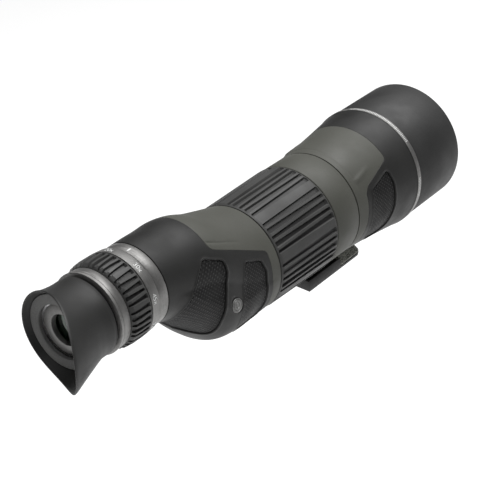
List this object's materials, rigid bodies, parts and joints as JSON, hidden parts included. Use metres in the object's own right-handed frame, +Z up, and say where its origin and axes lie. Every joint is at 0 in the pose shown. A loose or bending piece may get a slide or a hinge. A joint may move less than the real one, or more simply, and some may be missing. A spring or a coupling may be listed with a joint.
{
  "type": "spotting scope",
  "caption": "Straight spotting scope with an offset zoom eyepiece, winged eyecup, ribbed focus ring, rotating tripod collar with foot, and a sliding sunshade.",
  "frame": {"origin": "centre of the mounting foot's bottom face", "axes": "+Y along the optical axis towards the objective, +Z up, +X to the right seen from behind the eyepiece"},
  "size_m": [0.0893, 0.3499, 0.0987],
  "materials": {
    "green_paint": "fine satin paint",
    "armour": "smooth matte armour",
    "grip_rubber": "textured grip rubber",
    "eyecup_rubber": "matte moulded rubber",
    "gunmetal": "brushed and anodised",
    "black_anodised": "satin black anodised",
    "bare_aluminium": "machined",
    "steel": "machined",
    "brass": "machined",
    "black_plastic": "moulded",
    "optical_glass": "coated",
    "black_seal": "soft"
  },
  "bodies": {
    "mount": {"tripod_collar": "green_paint", "collar_liner": "black_plastic", "foot_rail": "black_anodised", "foot_block": "green_paint", "tripod_thread_insert": "brass", "foot_screw_1": "steel", "foot_screw_2": "steel"},
    "lock": {"lock_stud": "steel", "lock_knob": "black_plastic"},
    "scope": {"housing_cover": "green_paint", "housing_armour": "armour", "grip_pad_rear_right": "grip_rubber", "grip_pad_rear_left": "grip_rubber", "grip_pad_front_right": "grip_rubber", "grip_pad_front_left": "grip_rubber", "prism_housing": "bare_aluminium", "purge_plug": "black_anodised", "prism_table": "bare_aluminium", "erecting_prism_rear": "optical_glass", "erecting_prism_front": "optical_glass", "prism_strap_rear": "steel", "prism_strap_front": "steel", "main_tube": "bare_aluminium", "front_barrel": "bare_aluminium", "bell_cover": "green_paint", "bell_armour": "armour", "grip_pad_bell_right": "grip_rubber", "grip_pad_bell_left": "grip_rubber", "accent_ring": "gunmetal", "objective_cell": "black_anodised", "objective_flint_lens": "optical_glass", "objective_spacer": "black_anodised", "objective_crown_lens": "optical_glass", "objective_seal": "black_seal", "objective_retaining_ring": "black_anodised", "sunshade_felt_ring": "black_seal", "eyepiece_barrel": "bare_aluminium", "index_ring": "gunmetal", "eyepiece_rear_ring": "gunmetal", "field_stop": "black_anodised", "eye_lens": "optical_glass", "eye_lens_ring": "gunmetal"},
    "focus_ring": {"focus_core": "brass", "focus_grip": "grip_rubber"},
    "focus_carriage": {"focus_cell": "black_anodised", "focus_lens": "optical_glass", "focus_drive_pin": "steel"},
    "zoom_ring": {"zoom_scale_ring": "gunmetal", "zoom_grip": "grip_rubber", "zoom_cam_tube": "brass"},
    "zoom_carriage_front": {"zoom_cell_front": "black_anodised", "zoom_lens_front": "optical_glass", "zoom_pin_front": "steel"},
    "zoom_carriage_rear": {"zoom_cell_rear": "black_anodised", "zoom_lens_rear": "optical_glass", "zoom_pin_rear": "steel"},
    "eyecup_helix": {"eyecup_helicoid": "black_plastic"},
    "eyecup_slider": {"eyecup": "eyecup_rubber", "eyecup_core": "black_plastic"},
    "hood": {"sunshade": "black_anodised"}
  },
  "joints": [
    {"name": "collar_rotation", "type": "hinge", "parent": "mount", "child": "scope", "pos_m": [0, -0.0177, 0.0464], "axis": [0, 1, 0], "continuous": true},
    {"name": "lock_turn", "type": "hinge", "parent": "mount", "child": "lock", "pos_m": [-0.03897, -0.0177, 0.0239], "axis": [-0.866, 0, -0.5], "range_deg": [-180, 180]},
    {"name": "focus_turn", "type": "hinge", "parent": "scope", "child": "focus_ring", "pos_m": [0, -0.0571, 0.0464], "axis": [0, 1, 0], "range_deg": [-150, 150]},
    {"name": "focus_travel", "type": "slide", "parent": "scope", "child": "focus_carriage", "axis": [0, 1, 0], "range_m": [-0.008, 0.008]},
    {"name": "zoom_turn", "type": "hinge", "parent": "scope", "child": "zoom_ring", "pos_m": [0, -0.1911, 0.0734], "axis": [0, 1, 0], "range_deg": [-113, 17.4]},
    {"name": "zoom_front_travel", "type": "slide", "parent": "scope", "child": "zoom_carriage_front", "axis": [0, 1, 0], "range_m": [-0.00108, 0.00695]},
    {"name": "zoom_rear_travel", "type": "slide", "parent": "scope", "child": "zoom_carriage_rear", "axis": [0, 1, 0], "range_m": [-0.00075, 0.00478]},
    {"name": "eyecup_twist", "type": "hinge", "parent": "scope", "child": "eyecup_helix", "pos_m": [0, -0.2141, 0.0734], "axis": [0, 1, 0], "range_deg": [0, 90]},
    {"name": "eyecup_rise", "type": "slide", "parent": "eyecup_helix", "child": "eyecup_slider", "axis": [0, -1, 0], "range_m": [0, 0.01]},
    {"name": "sunshade_slide", "type": "slide", "parent": "scope", "child": "hood", "axis": [0, 1, 0], "range_m": [0, 0.025]}
  ],
  "couplings": [
    {"joint": "focus_travel", "follows": "focus_turn", "m_per_rad": 0.003055},
    {"joint": "zoom_front_travel", "follows": "zoom_turn", "m_per_rad": -0.003515},
    {"joint": "zoom_rear_travel", "follows": "zoom_turn", "m_per_rad": -0.002417},
    {"joint": "eyecup_rise", "follows": "eyecup_twist", "m_per_rad": 0.006366}
  ]
}
